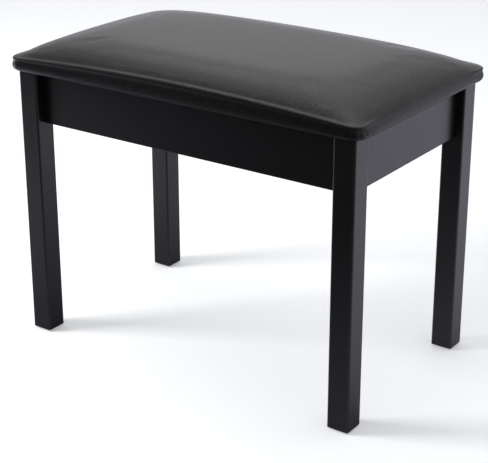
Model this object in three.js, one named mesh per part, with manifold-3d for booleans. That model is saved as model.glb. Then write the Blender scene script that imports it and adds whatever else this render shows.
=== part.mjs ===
// A piano bench: a domed vinyl seat on four square legs, joined by recessed aprons.
// Millimetres. +X runs along the seat, +Y to its back, +Z up. The origin is on the floor, under
// the middle of the seat. The legs are bolted to blocks that cross the frame's inner corners.
import * as THREE from "three";
import { mergeVertices } from "three/addons/utils/BufferGeometryUtils.js";
import Module from "manifold-3d";

// ---------- driving dimensions ----------

// clearances
const FIT = 0.3; // between pieces that touch
const HOLE_FIT = 0.4; // all round a fastener in its hole

// frame
const FRAME_LENGTH = 600; // over the legs' outer faces, along X
const FRAME_DEPTH = 350; // over the legs' outer faces, along Y
const FRAME_HEIGHT = 438; // floor to the top of the legs and aprons
const LEG_SIZE = 35;
const LEG_EDGE_RADIUS = 3;
const LEG_END_CHAMFER = 1.2;
const APRON_HEIGHT = 84;
const APRON_THICKNESS = 14;
const APRON_EDGE_CHAMFER = 1;
const FRONT_RECESS = 16; // front and back aprons, behind the legs' outer faces
const SIDE_RECESS = 13; // left and right aprons, behind the legs' outer faces

// corner blocks
const BLOCK_THICKNESS = 22;
const BLOCK_HEIGHT = 50;
const BLOCK_BELOW_TOP = 3; // so that the seat pulls down on the aprons
const BLOCK_STANDOFF = 10; // from the leg's inner corner

// hanger bolts, washers and nuts
const BOLT_DIAMETER = 6;
const BOLT_IN_LEG = 22;
const BOLT_PAST_NUT = 4;
const BOLT_POINT_FLAT = 0.3; // share of the radius
const BOLT_POINT_LENGTH = 1.6; // in radii
const BOLT_END_CHAMFER = 1;
const WASHER_DIAMETER = 18;
const WASHER_THICKNESS = 1.6;
const NUT_ACROSS_FLATS = 10;
const NUT_HEIGHT = 5;

// wood screws
const BLOCK_SCREW = { shank: 4, head: 8, headHeight: 2.6, length: 17, slot: 4.4 };
const SEAT_SCREW = { shank: 4.5, head: 8.6, headHeight: 3, length: 45, slot: 4.8 };
const GLIDE_SCREW = { shank: 3, head: 5.6, headHeight: 1.7, length: 14, slot: 3.2 };
const HEAD_FACE = 0.72; // share of the head's diameter that is flat on top
const COUNTERSUNK_CONE = 0.75; // share of the head's height that tapers to the shank
const PAN_HEAD_SIDE = 0.55; // share of the head's height that stands straight
const SCREW_POINT = 2; // length, in shank diameters
const SLOT_WIDTH = 0.9;
const SLOT_DEPTH = 1.3;
const BLOCK_SCREW_FROM_FACE = 10; // from the block's long face, along the apron
const BLOCK_SCREW_SINK = 3; // its head's flat seat, below the block's long face
const SEAT_SCREW_ASIDE = 12; // from the middle of the block, along its long face
const SEAT_SCREW_BITE = 11.5; // how far it goes into the board

// seat
const SEAT_OVERHANG_SIDE = 14; // past the legs' outer faces, at the widest
const SEAT_OVERHANG_FRONT = 13;
const SEAT_CORNER_RADIUS = 22;
const SEAT_CORNER_LEAST = 4; // radius that the corners keep as the outline moves inwards
const SEAT_THICKNESS = 52; // underside to the top of the dome
const EDGE_WIDEST = 14; // height of the widest line above the underside
const EDGE_TUCK = 7; // how far the cover tucks in below the widest line
const SHOULDER_HEIGHT = 30; // height where the rounded edge meets the dome
const SHOULDER_INSET = 13;
const DOME_FLATNESS = 2.4; // higher is a flatter middle with a steeper rise at the edge
const DOME_SPREAD = 1.5; // higher puts more of the facets near the edge
const COVER_THICKNESS = 1;
const COVER_HEM = 60; // width of the cover's fold under the board
const BOARD_THICKNESS = 15;
const BOARD_EDGE_CHAMFER = 1;
const BOARD_INSET = 8.5; // from the seat's widest line
const FOAM_SKIRT_GAP = 5; // from the underside up to the foam's skirt
const DUST_COVER_THICKNESS = 0.8;
const DUST_COVER_LAP = 8; // over the cover's hem
const DUST_COVER_ROOM = 1; // inside the frame, all round
const DUST_COVER_CORNER = 3; // radius

// feet
const GLIDE_DIAMETER = 22;
const GLIDE_THICKNESS = 2.5;
const GLIDE_EDGE_CHAMFER = 1;
const GLIDE_SCREW_SINK = 0.4; // the screw head's face, above the floor

// facets
const CORNER_STEPS = 5;
const EDGE_STEPS = 5;
const DOME_STEPS = 6;
const ROUND_STEPS = 14;
const LEG_EDGE_STEPS = 2;
const BOARD_CORNER_STEPS = 3;

// ---------- places worked out from them ----------

const halfLength = FRAME_LENGTH / 2;
const halfDepth = FRAME_DEPTH / 2;
const apronInnerX = halfLength - SIDE_RECESS - APRON_THICKNESS;
const apronInnerY = halfDepth - FRONT_RECESS - APRON_THICKNESS;
const legInset = LEG_SIZE / 2;
const seatHalfLength = halfLength + SEAT_OVERHANG_SIDE;
const seatHalfDepth = halfDepth + SEAT_OVERHANG_FRONT;
const seatUnderside = FRAME_HEIGHT + FIT;
const boardUnderside = seatUnderside + COVER_THICKNESS + FIT;
const blockTop = FRAME_HEIGHT - BLOCK_BELOW_TOP;
const boltHeight = blockTop - BLOCK_HEIGHT / 2;
const legBottom = GLIDE_THICKNESS + FIT;

// Each frame corner has its own plan coordinates: a runs from the side apron's inner face and
// b from the front or back apron's inner face, both towards the middle of the bench.
const corners = [
  { name: "fl", signX: -1, signY: -1 },
  { name: "fr", signX: 1, signY: -1 },
  { name: "bl", signX: -1, signY: 1 },
  { name: "br", signX: 1, signY: 1 },
];
const legAxisA = apronInnerX - (halfLength - legInset);
const legAxisB = apronInnerY - (halfDepth - legInset);
const legCornerSum = legAxisA + legAxisB + LEG_SIZE;
const blockNear = legCornerSum + BLOCK_STANDOFF * Math.SQRT2; // a + b on its short face
const blockFar = blockNear + BLOCK_THICKNESS * Math.SQRT2; // a + b on its long face
const boltToBlockFar = (blockFar - legAxisA - legAxisB) / Math.SQRT2; // from the leg's axis
const boltStart = LEG_SIZE / Math.SQRT2 - BOLT_IN_LEG;
const washerStart = boltToBlockFar + FIT;
const nutStart = washerStart + WASHER_THICKNESS + FIT;
const boltEnd = nutStart + NUT_HEIGHT + BOLT_PAST_NUT;
const blockScrewReach = blockFar - BLOCK_SCREW_FROM_FACE;
const blockScrewSeat = BLOCK_SCREW_FROM_FACE - BLOCK_SCREW_SINK;
const seatScrewA = (blockNear + blockFar) / 4 + SEAT_SCREW_ASIDE / Math.SQRT2;
const seatScrewB = (blockNear + blockFar) / 4 - SEAT_SCREW_ASIDE / Math.SQRT2;
const seatScrewTip = boardUnderside + SEAT_SCREW_BITE;
const seatScrewSeat = seatScrewTip - SEAT_SCREW.length;

const wasm = await Module();
wasm.setup();

// ---------- solids ----------

function solidOf(geometry) {
  const bare = geometry.clone();
  bare.deleteAttribute("normal");
  bare.deleteAttribute("uv");
  const merged = mergeVertices(bare, 1e-4);
  const vertProperties = new Float32Array(merged.attributes.position.array);
  const triVerts = new Uint32Array(merged.index.array);
  return new wasm.Manifold(new wasm.Mesh({ numProp: 3, vertProperties, triVerts }));
}

function geometryOf(solid) {
  const mesh = solid.getMesh();
  const geometry = new THREE.BufferGeometry();
  geometry.setAttribute("position", new THREE.BufferAttribute(mesh.vertProperties, 3));
  geometry.setIndex(new THREE.BufferAttribute(mesh.triVerts, 1));
  const flat = geometry.toNonIndexed();
  flat.computeVertexNormals();
  return flat;
}

function cut(geometry, ...tools) {
  const left = tools.reduce((solid, tool) => solid.subtract(solidOf(tool)), solidOf(geometry));
  return geometryOf(left);
}

// A straight piece from one point to another, turned from a geometry that stands along +Z.
function standAlong(geometry, from, direction) {
  const turn = new THREE.Quaternion().setFromUnitVectors(new THREE.Vector3(0, 0, 1), direction);
  return geometry.applyQuaternion(turn).translate(from.x, from.y, from.z);
}

// A round solid about +Z, from (radius, height) pairs that start and end on the axis.
function turned(pairs) {
  const profile = pairs.map(([radius, height]) => new THREE.Vector2(radius, height));
  return new THREE.LatheGeometry(profile, ROUND_STEPS).rotateX(Math.PI / 2);
}

function rod(diameter, length) {
  const radius = diameter / 2;
  return turned([[0, 0], [radius, 0], [radius, length], [0, length]]);
}

// A flat plate of any outline, standing from z = 0 up to its thickness.
function plate(shape, thickness, chamfer = 0, steps = BOARD_CORNER_STEPS) {
  const settings = {
    depth: thickness - 2 * chamfer,
    bevelEnabled: chamfer > 0,
    bevelThickness: chamfer,
    bevelSize: chamfer,
    bevelOffset: -chamfer,
    bevelSegments: 1,
    curveSegments: steps,
  };
  return new THREE.ExtrudeGeometry(shape, settings).translate(0, 0, chamfer);
}

function roundedRectangle(halfX, halfY, radius) {
  const shape = new THREE.Shape();
  shape.absarc(halfX - radius, halfY - radius, radius, 0, Math.PI / 2);
  shape.absarc(radius - halfX, halfY - radius, radius, Math.PI / 2, Math.PI);
  shape.absarc(radius - halfX, radius - halfY, radius, Math.PI, 1.5 * Math.PI);
  shape.absarc(halfX - radius, radius - halfY, radius, 1.5 * Math.PI, 2 * Math.PI);
  shape.closePath();
  return shape;
}

function polygon(points) {
  return new THREE.Shape(points.map(([x, y]) => new THREE.Vector2(x, y)));
}

// Moves a geometry made in one corner's plan coordinates to its place on the bench, turning
// its faces back round where the corner is a mirror image.
function placeInCorner(geometry, corner) {
  const mirror = new THREE.Matrix4().makeScale(-corner.signX, -corner.signY, 1);
  const place = new THREE.Matrix4().makeTranslation(
    corner.signX * apronInnerX,
    corner.signY * apronInnerY,
    0,
  );
  const made = geometry.index ? geometry.toNonIndexed() : geometry;
  made.applyMatrix4(mirror).applyMatrix4(place);
  if (corner.signX * corner.signY < 0) {
    const position = made.attributes.position;
    const first = new THREE.Vector3();
    const last = new THREE.Vector3();
    for (let i = 0; i < position.count; i += 3) {
      first.fromBufferAttribute(position, i);
      last.fromBufferAttribute(position, i + 2);
      position.setXYZ(i, last.x, last.y, last.z);
      position.setXYZ(i + 2, first.x, first.y, first.z);
    }
    made.computeVertexNormals();
  }
  return made;
}

// ---------- materials ----------

const material = (color, roughness, metalness) =>
  new THREE.MeshStandardMaterial({ color, roughness, metalness });
const blackVinyl = material(0x1b1b1d, 0.5, 0);
const foam = material(0xd8d2c0, 0.95, 0);
const rawBoard = material(0xb89468, 0.8, 0);
const blackCloth = material(0x101010, 0.95, 0);
const blackPaint = material(0x141416, 0.4, 0);
const rawBlock = material(0xc29c6b, 0.75, 0);
const zinc = material(0xb9bcc0, 0.35, 1);
const blackPlastic = material(0x0e0e0f, 0.6, 0);

const bench = new THREE.Group();

function add(name, geometry, finish) {
  const mesh = new THREE.Mesh(geometry, finish);
  mesh.name = name;
  bench.add(mesh);
}

// ---------- fasteners ----------

// A countersunk or flat-seated wood screw. Its head's underside is at z = 0 and its tip points up.
function woodScrew({ shank, head, headHeight, length, slot }, countersunk) {
  const radius = shank / 2;
  const rim = -headHeight * (countersunk ? COUNTERSUNK_CONE : PAN_HEAD_SIDE);
  const underHead = countersunk ? [[head / 2, rim]] : [[head / 2, rim], [head / 2, 0]];
  const body = turned([
    [0, -headHeight],
    [(head / 2) * HEAD_FACE, -headHeight],
    ...underHead,
    [radius, 0],
    [radius, length - SCREW_POINT * shank],
    [0, length],
  ]);
  const slots = [0, Math.PI / 2].map((turn) =>
    new THREE.BoxGeometry(slot, SLOT_WIDTH, 2 * SLOT_DEPTH)
      .rotateZ(turn)
      .translate(0, 0, -headHeight),
  );
  return cut(body, ...slots);
}

function screwHole({ shank, head, headHeight, length }, headRoom) {
  const wide = head / 2 + HOLE_FIT;
  const radius = shank / 2 + HOLE_FIT;
  return turned([
    [0, -headHeight - headRoom],
    [wide, -headHeight - headRoom],
    [wide, FIT],
    [radius, FIT],
    [radius, length + HOLE_FIT],
    [0, length + HOLE_FIT],
  ]);
}

const diagonal = new THREE.Vector3(1, 1, 0).normalize();
const up = new THREE.Vector3(0, 0, 1);
const towardSide = new THREE.Vector3(-1, 0, 0);
const towardFront = new THREE.Vector3(0, -1, 0);

const alongBolt = (distance) =>
  new THREE.Vector3(legAxisA, legAxisB, boltHeight).addScaledVector(diagonal, distance);

function boltHole() {
  const bore = rod(BOLT_DIAMETER + 2 * HOLE_FIT, boltEnd - boltStart + HOLE_FIT);
  return standAlong(bore, alongBolt(boltStart - HOLE_FIT), diagonal);
}

function hangerBolt() {
  const radius = BOLT_DIAMETER / 2;
  const length = boltEnd - boltStart;
  const shape = turned([
    [0, 0],
    [radius * BOLT_POINT_FLAT, 0],
    [radius, radius * BOLT_POINT_LENGTH],
    [radius, length - BOLT_END_CHAMFER],
    [radius - BOLT_END_CHAMFER, length],
    [0, length],
  ]);
  return standAlong(shape, alongBolt(boltStart), diagonal);
}

function washer() {
  const ring = new THREE.Shape().absarc(0, 0, WASHER_DIAMETER / 2, 0, 2 * Math.PI);
  ring.holes.push(new THREE.Path().absarc(0, 0, BOLT_DIAMETER / 2 + HOLE_FIT, 0, 2 * Math.PI));
  const disc = plate(ring, WASHER_THICKNESS, 0, ROUND_STEPS / 2);
  return standAlong(disc, alongBolt(washerStart), diagonal);
}

function nut() {
  const reach = NUT_ACROSS_FLATS / Math.sqrt(3);
  const hexagon = polygon([0, 1, 2, 3, 4, 5].map((i) => [
    reach * Math.cos((i * Math.PI) / 3),
    reach * Math.sin((i * Math.PI) / 3),
  ]));
  hexagon.holes.push(new THREE.Path().absarc(0, 0, BOLT_DIAMETER / 2 + HOLE_FIT, 0, 2 * Math.PI));
  const block = plate(hexagon, NUT_HEIGHT, 0, ROUND_STEPS / 2);
  return standAlong(block, alongBolt(nutStart), diagonal);
}

// The two screws of a block: one into the front or back apron, one into the side apron.
const longScrew = {
  name: "long",
  from: new THREE.Vector3(blockScrewReach, blockScrewSeat, boltHeight),
  direction: towardFront,
};
const shortScrew = {
  name: "short",
  from: new THREE.Vector3(blockScrewSeat, blockScrewReach, boltHeight),
  direction: towardSide,
};
const blockScrewPlaces = [longScrew, shortScrew];
const seatScrewPlace = new THREE.Vector3(seatScrewA, seatScrewB, seatScrewSeat);

const blockScrewHole = ({ from, direction }) =>
  standAlong(screwHole(BLOCK_SCREW, BLOCK_THICKNESS), from.clone(), direction);
const seatScrewHole = () =>
  standAlong(screwHole(SEAT_SCREW, BLOCK_HEIGHT), seatScrewPlace.clone(), up);

// ---------- frame ----------

function leg() {
  const length = FRAME_HEIGHT - legBottom;
  const square = roundedRectangle(legInset, legInset, LEG_EDGE_RADIUS);
  const post = plate(square, length, LEG_END_CHAMFER, LEG_EDGE_STEPS)
    .translate(legAxisA, legAxisB, legBottom);
  return cut(post, boltHole(), glideScrewHole());
}

function cornerBlock() {
  const near = blockNear;
  const far = blockFar;
  const outline = polygon([[near - FIT, FIT], [far - FIT, FIT], [FIT, far - FIT], [FIT, near - FIT]]);
  const block = plate(outline, BLOCK_HEIGHT).translate(0, 0, blockTop - BLOCK_HEIGHT);
  return cut(block, boltHole(), ...blockScrewPlaces.map(blockScrewHole), seatScrewHole());
}

// A rail with the pilot holes of its two block screws, and room for the leg bolts at its ends.
function apron(length, centre, turn, screwPlace) {
  const section = roundedRectangle(APRON_HEIGHT / 2, APRON_THICKNESS / 2, APRON_EDGE_CHAMFER);
  const rail = plate(section, length, 0, 1)
    .translate(0, 0, -length / 2)
    .rotateY(Math.PI / 2)
    .rotateZ(turn)
    .translate(centre.x, centre.y, FRAME_HEIGHT - APRON_HEIGHT / 2);
  const holes = corners
    .filter(({ signX, signY }) => signX * centre.x >= 0 && signY * centre.y >= 0)
    .flatMap((corner) => [blockScrewHole(screwPlace), boltHole()]
      .map((hole) => placeInCorner(hole, corner)));
  return cut(rail, ...holes);
}

const longApron = FRAME_LENGTH - 2 * LEG_SIZE - 2 * FIT;
const shortApron = FRAME_DEPTH - 2 * LEG_SIZE - 2 * FIT;
const frontLine = apronInnerY + APRON_THICKNESS / 2;
const sideLine = apronInnerX + APRON_THICKNESS / 2;

add("apron_front", apron(longApron, { x: 0, y: -frontLine }, 0, longScrew), blackPaint);
add("apron_back", apron(longApron, { x: 0, y: frontLine }, 0, longScrew), blackPaint);
add("apron_left", apron(shortApron, { x: -sideLine, y: 0 }, Math.PI / 2, shortScrew), blackPaint);
add("apron_right", apron(shortApron, { x: sideLine, y: 0 }, Math.PI / 2, shortScrew), blackPaint);

// ---------- feet ----------

const glideScrewSeat = GLIDE_SCREW_SINK + GLIDE_SCREW.headHeight;

function glideScrewHole() {
  const hole = screwHole(GLIDE_SCREW, glideScrewSeat);
  return hole.translate(legAxisA, legAxisB, glideScrewSeat);
}

function glide() {
  const radius = GLIDE_DIAMETER / 2;
  const disc = turned([
    [0, 0],
    [radius - GLIDE_EDGE_CHAMFER, 0],
    [radius, GLIDE_EDGE_CHAMFER],
    [radius, GLIDE_THICKNESS],
    [0, GLIDE_THICKNESS],
  ]).translate(legAxisA, legAxisB, 0);
  return cut(disc, glideScrewHole());
}

const glideScrew = () =>
  woodScrew(GLIDE_SCREW, true).translate(legAxisA, legAxisB, glideScrewSeat);

// ---------- the four corners ----------

for (const corner of corners) {
  const put = (name, geometry, finish) =>
    add(`${name}_${corner.name}`, placeInCorner(geometry, corner), finish);
  put("leg", leg(), blackPaint);
  put("corner_block", cornerBlock(), rawBlock);
  put("leg_bolt", hangerBolt(), zinc);
  put("leg_washer", washer(), zinc);
  put("leg_nut", nut(), zinc);
  for (const { name, from, direction } of blockScrewPlaces) {
    const screw = standAlong(woodScrew(BLOCK_SCREW, false), from, direction);
    put(`block_screw_${name}`, screw, zinc);
  }
  put("seat_screw", standAlong(woodScrew(SEAT_SCREW, false), seatScrewPlace, up), zinc);
  put("glide", glide(), blackPlastic);
  put("glide_screw", glideScrew(), zinc);
}

// ---------- seat ----------

// The seat's outline at one inset from its widest line: a rounded rectangle, which past
// the straight inset only shrinks towards the middle.
const STRAIGHT_INSET = SEAT_CORNER_RADIUS - SEAT_CORNER_LEAST;

function outlinePoint(column, inset) {
  const straight = Math.min(inset, STRAIGHT_INSET);
  const shrink = (seatHalfDepth - inset) / (seatHalfDepth - straight);
  const corner = Math.floor(column / (CORNER_STEPS + 1));
  const step = column % (CORNER_STEPS + 1);
  const angle = ((corner + step / CORNER_STEPS) * Math.PI) / 2;
  const radius = SEAT_CORNER_RADIUS - straight;
  const signX = corner === 0 || corner === 3 ? 1 : -1;
  const signY = corner < 2 ? 1 : -1;
  const x = signX * (seatHalfLength - SEAT_CORNER_RADIUS) + radius * Math.cos(angle);
  const y = signY * (seatHalfDepth - SEAT_CORNER_RADIUS) + radius * Math.sin(angle);
  return [x * shrink, y * shrink];
}

// A solid whose section is swept round the seat's outline. The profile holds (inset, height)
// pairs that start and end at the middle, where the inset is half the seat's depth, or that
// close on themselves. A lathe sets the faces, and its columns move to the outline.
function seatSolid(pairs) {
  const columns = 4 * (CORNER_STEPS + 1);
  const profile = pairs.map(([inset, height]) => new THREE.Vector2(seatHalfDepth - inset, height));
  const geometry = new THREE.LatheGeometry(profile, columns);
  const position = geometry.attributes.position;
  for (let i = 0; i < position.count; i += 1) {
    const [inset, height] = pairs[i % pairs.length];
    const column = Math.floor(i / pairs.length) % columns;
    const [x, y] = outlinePoint(column, inset);
    position.setXYZ(i, x, y, seatUnderside + height);
  }
  return geometry;
}

// Half of the seat's section, from its underside up over the rounded edge to the middle of
// the dome, pushed in by the given depth below the outer surface.
function edgeAndDome(depth, bottom) {
  const pairs = [];
  const lowHeight = EDGE_WIDEST - depth;
  for (let i = 0; i <= EDGE_STEPS; i += 1) {
    const share = (i / EDGE_STEPS) * (EDGE_WIDEST - bottom);
    const drop = (EDGE_WIDEST - bottom - share) / lowHeight;
    const tuck = EDGE_TUCK * (1 - Math.sqrt(Math.max(0, 1 - drop * drop)));
    pairs.push([depth + tuck, bottom + share]);
  }
  for (let i = 1; i <= EDGE_STEPS; i += 1) {
    const angle = (i / EDGE_STEPS) * (Math.PI / 2);
    const inset = SHOULDER_INSET - (SHOULDER_INSET - depth) * Math.cos(angle);
    const height = EDGE_WIDEST + (SHOULDER_HEIGHT - EDGE_WIDEST - depth) * Math.sin(angle);
    pairs.push([inset, height]);
  }
  const rise = SEAT_THICKNESS - SHOULDER_HEIGHT;
  for (let i = 1; i <= DOME_STEPS; i += 1) {
    const share = (i / DOME_STEPS) ** DOME_SPREAD;
    const height = SHOULDER_HEIGHT - depth + rise * (1 - (1 - share) ** DOME_FLATNESS);
    pairs.push([SHOULDER_INSET + share * (seatHalfDepth - SHOULDER_INSET), height]);
  }
  return pairs;
}

function coverGeometry() {
  const outside = edgeAndDome(0, 0);
  const inside = edgeAndDome(COVER_THICKNESS, COVER_THICKNESS).reverse();
  const hem = [[COVER_HEM, COVER_THICKNESS], [COVER_HEM, 0]];
  const closed = [...outside, ...inside, ...hem, outside[0]];
  const holes = corners.map((corner) => placeInCorner(seatScrewHole(), corner));
  return cut(seatSolid(closed), ...holes);
}

function foamGeometry() {
  const boardTop = boardUnderside + BOARD_THICKNESS + FIT - seatUnderside;
  const outside = edgeAndDome(COVER_THICKNESS + FIT, FOAM_SKIRT_GAP);
  const inner = BOARD_INSET - FIT;
  const under = [[seatHalfDepth, boardTop], [inner, boardTop], [inner, FOAM_SKIRT_GAP]];
  return seatSolid([...under, ...outside]);
}

function boardGeometry() {
  const shape = roundedRectangle(
    seatHalfLength - BOARD_INSET,
    seatHalfDepth - BOARD_INSET,
    SEAT_CORNER_RADIUS - BOARD_INSET,
  );
  const board = plate(shape, BOARD_THICKNESS, BOARD_EDGE_CHAMFER)
    .translate(0, 0, boardUnderside);
  const holes = corners.map((corner) => placeInCorner(seatScrewHole(), corner));
  return cut(board, ...holes);
}

function dustCoverGeometry() {
  const lap = COVER_HEM - DUST_COVER_LAP;
  const frameX = Math.min(apronInnerX, halfLength - LEG_SIZE) - DUST_COVER_ROOM;
  const frameY = Math.min(apronInnerY, halfDepth - LEG_SIZE) - DUST_COVER_ROOM;
  const halfX = Math.min(seatHalfLength - lap, frameX);
  const halfY = Math.min(seatHalfDepth - lap, frameY);
  const sheet = plate(roundedRectangle(halfX, halfY, DUST_COVER_CORNER), DUST_COVER_THICKNESS)
    .translate(0, 0, seatUnderside - FIT - DUST_COVER_THICKNESS);
  const holes = corners.map((corner) => placeInCorner(seatScrewHole(), corner));
  return cut(sheet, ...holes);
}

add("seat_cover", coverGeometry(), blackVinyl);
add("seat_foam", foamGeometry(), foam);
add("seat_board", boardGeometry(), rawBoard);
add("dust_cover", dustCoverGeometry(), blackCloth);

export default bench;
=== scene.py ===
import math

import bmesh
import bpy
from mathutils import Matrix, Vector, noise


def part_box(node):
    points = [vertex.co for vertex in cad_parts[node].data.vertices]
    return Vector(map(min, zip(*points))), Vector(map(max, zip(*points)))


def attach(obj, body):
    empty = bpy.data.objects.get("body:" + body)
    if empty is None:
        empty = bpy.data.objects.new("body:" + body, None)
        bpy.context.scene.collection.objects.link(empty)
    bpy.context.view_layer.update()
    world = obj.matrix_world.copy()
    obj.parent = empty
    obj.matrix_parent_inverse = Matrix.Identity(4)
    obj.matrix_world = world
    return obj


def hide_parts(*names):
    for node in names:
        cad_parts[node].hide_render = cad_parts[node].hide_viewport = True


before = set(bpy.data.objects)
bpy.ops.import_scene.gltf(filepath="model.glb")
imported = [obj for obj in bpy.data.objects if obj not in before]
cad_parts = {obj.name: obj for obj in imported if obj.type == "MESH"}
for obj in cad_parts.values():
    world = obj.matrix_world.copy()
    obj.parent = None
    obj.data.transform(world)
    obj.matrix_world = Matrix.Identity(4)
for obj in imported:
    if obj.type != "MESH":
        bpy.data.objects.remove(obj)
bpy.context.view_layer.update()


# ---------- Legs ----------
# Four square hardwood posts, planed, rounded on their long edges and sprayed with two coats of
# satin black lacquer. Under the lacquer the grain still shows as faint lines up the leg.

CORNERS = {"fl": (-1, -1), "fr": (1, -1), "bl": (-1, 1), "br": (1, 1)}
LEG_EDGE = 0.003  # radius of the long edges
LEG_END = 0.0012  # rounding at the two ends
WELD = 5e-6  # after a cut or a bevel, points nearer than this are one
AT_END = 1e-5  # how near an end a point is on it
LINED_UP = 0.9  # cosine from which an edge runs along an axis
GRAIN_ACROSS = 900  # patches to a metre, across the grain
GRAIN_ALONG = 22  # and along it
SPRAY_RIPPLES = 420  # to a metre
LACQUER_ROUGHNESS = 0.23
LACQUER_DEPTH = 0.00008
LACQUER_BLACK = (0.0026, 0.0026, 0.0030, 1)
LACQUER_WORN = (0.022, 0.021, 0.020, 1)


class Wire:
    """An output of a shader node, so that shader sums are written as Python sums."""

    def __init__(self, tree, socket=None):
        self.tree = tree
        self.socket = socket

    def node(self, kind, settings=None, sockets=None, output=0):
        """A new node: its settings are set first, then the values or links of its sockets."""
        made = self.tree.nodes.new("ShaderNode" + kind)
        for name, value in (settings or {}).items():
            if name == "stops":
                while len(made.color_ramp.elements) < len(value):
                    made.color_ramp.elements.new(1)
                for stop, (place, colour) in zip(made.color_ramp.elements, value):
                    stop.position = place
                    stop.color = colour
            else:
                setattr(made, name, value)
        for name, value in (sockets or {}).items():
            if isinstance(value, Wire):
                self.tree.links.new(value.socket, made.inputs[name])
            else:
                made.inputs[name].default_value = value
        return Wire(self.tree, made.outputs[output]) if made.outputs else made

    def sum(self, operation, first, second):
        return self.node("Math", {"operation": operation}, {0: first, 1: second})

    def clamp(self):
        return self.node("Clamp", None, {"Value": self})

    def axis(self, name):
        return self.node("SeparateXYZ", None, {"Vector": self}, name)

    def __add__(self, other):
        return self.sum("ADD", self, other)

    def __sub__(self, other):
        return self.sum("SUBTRACT", self, other)

    def __mul__(self, other):
        return self.sum("MULTIPLY", self, other)

    def __rsub__(self, other):
        return self.sum("SUBTRACT", other, self)

    __radd__ = __add__
    __rmul__ = __mul__


def new_finish(name):
    """A material with an empty node tree, and a wire to start its nodes from."""
    finish = bpy.data.materials.new(name)
    finish.use_nodes = True
    finish.node_tree.nodes.clear()
    return finish, Wire(finish.node_tree)


def surface(start, colour, roughness, bump, depth, fixed=None):
    """The material's surface: what varies goes in by wire, and what is fixed by its own socket."""
    lift = start.node("Bump", None, {"Height": bump, "Distance": depth, "Strength": 1})
    sockets = {"Base Color": colour, "Roughness": roughness, "Normal": lift}
    shader = start.node("BsdfPrincipled", None, {**sockets, **(fixed or {})})
    start.node("OutputMaterial", None, {"Surface": shader})


def on_piece(start):
    """Object coordinates."""
    return start.node("TexCoord", output="Object")


def stretched(start, scale):
    """Object coordinates, scaled along each axis, so that a pattern is long one way."""
    return start.node("Mapping", None, {"Vector": on_piece(start), "Scale": scale})


def mottle(start, scale, detail, vector=None):
    """Soft noise from 0 to 1, with that many patches to a metre."""
    place = vector or on_piece(start)
    return start.node("TexNoise", None, {"Vector": place, "Scale": scale, "Detail": detail})


def ramp(start, amount, *stops):
    return start.node("ValToRGB", {"stops": stops}, {"Fac": amount})


def blend_colours(start, amount, first, second):
    """A mix of two colours. A Mix node's colour sockets are known only by number."""
    sockets = {"Factor": amount, 6: first, 7: second}
    return start.node("Mix", {"data_type": "RGBA"}, sockets, output=2)


def satin_lacquer(name, along):
    """Sprayed black lacquer over wood whose grain runs along one axis."""
    finish, start = new_finish(name)
    scale = [GRAIN_ACROSS] * 3
    scale[along] = GRAIN_ALONG
    pores = mottle(start, 1, detail=3, vector=stretched(start, scale))
    peel = mottle(start, SPRAY_RIPPLES, detail=2)
    cloud = mottle(start, 7, detail=3)
    edge = start.node("Attribute", {"attribute_name": "edge_wear"}, output="Fac")
    rubbed = edge * mottle(start, 60, detail=4) * 0.5
    colour = blend_colours(start, rubbed, LACQUER_BLACK, LACQUER_WORN)
    roughness = LACQUER_ROUGHNESS + cloud * 0.10 + pores * 0.06
    gloss = {"Specular IOR Level": 0.58}
    surface(start, colour, roughness, pores * 0.6 + peel * 0.4, LACQUER_DEPTH, gloss)
    return finish


def block_between(low, high):
    """A sawn block between two corners."""
    bm = bmesh.new()
    bmesh.ops.create_cube(bm, size=1)
    bmesh.ops.scale(bm, vec=high - low, verts=bm.verts)
    bmesh.ops.translate(bm, vec=(low + high) / 2, verts=bm.verts)
    return bm


def edges_along(bm, axis, way=True):
    """The edges that run along an axis, or with way False, those that don't."""
    found = []
    for edge in bm.edges:
        run = (edge.verts[1].co - edge.verts[0].co).normalized()
        if (abs(run[axis]) > LINED_UP) == way:
            found.append(edge)
    return found


def round_over(bm, edges, radius, segments):
    """Rounds edges, and marks the new faces as places where a finish wears."""
    worn = bm.faces.layers.float.get("edge_wear") or bm.faces.layers.float.new("edge_wear")
    settings = {"affect": "EDGES", "profile": 0.5, "material": -1, "clamp_overlap": True}
    made = bmesh.ops.bevel(bm, geom=edges, offset=radius, segments=segments, **settings)
    for face in made["faces"]:
        face[worn] = 1


def add_piece(name, bm, finish, slot, *stands_for):
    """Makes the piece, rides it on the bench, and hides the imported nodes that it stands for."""
    bmesh.ops.recalc_face_normals(bm, faces=bm.faces)
    for face in bm.faces:
        face.smooth = True
    mesh = bpy.data.meshes.new(name)
    bm.to_mesh(mesh)
    bm.free()
    mesh.materials.append(finish)
    piece = bpy.data.objects.new(name, mesh)
    bpy.context.scene.collection.objects.link(piece)
    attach(piece, "root")
    if stands_for:
        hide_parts(*stands_for)
    return piece


def even_shading(piece):
    """Keeps wide faces flat beside rounded edges."""
    piece.modifiers.new("even_shading", "WEIGHTED_NORMAL")


def timber(name, node, along, edge_radius, segments, end_radius, finish):
    """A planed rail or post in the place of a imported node."""
    low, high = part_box(node)
    bm = block_between(low, high)
    round_over(bm, edges_along(bm, along), edge_radius, segments)
    ends = [
        edge
        for edge in bm.edges
        if all(min(v.co[along] - low[along], high[along] - v.co[along]) < AT_END for v in edge.verts)
    ]
    round_over(bm, ends, end_radius, 2)
    bmesh.ops.remove_doubles(bm, verts=bm.verts, dist=WELD)
    even_shading(add_piece(name, bm, finish, "black_paint", node))


upright_lacquer = satin_lacquer("lacquer_on_legs", 2)
for corner in CORNERS:
    timber(f"painted_leg_{corner}", f"leg_{corner}", 2, LEG_EDGE, 5, LEG_END, upright_lacquer)


# ---------- Aprons ----------
# Four rails between the legs, sprayed with them. Their lower edges are only eased with
# sandpaper, so they are much sharper than the legs' edges.

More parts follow.
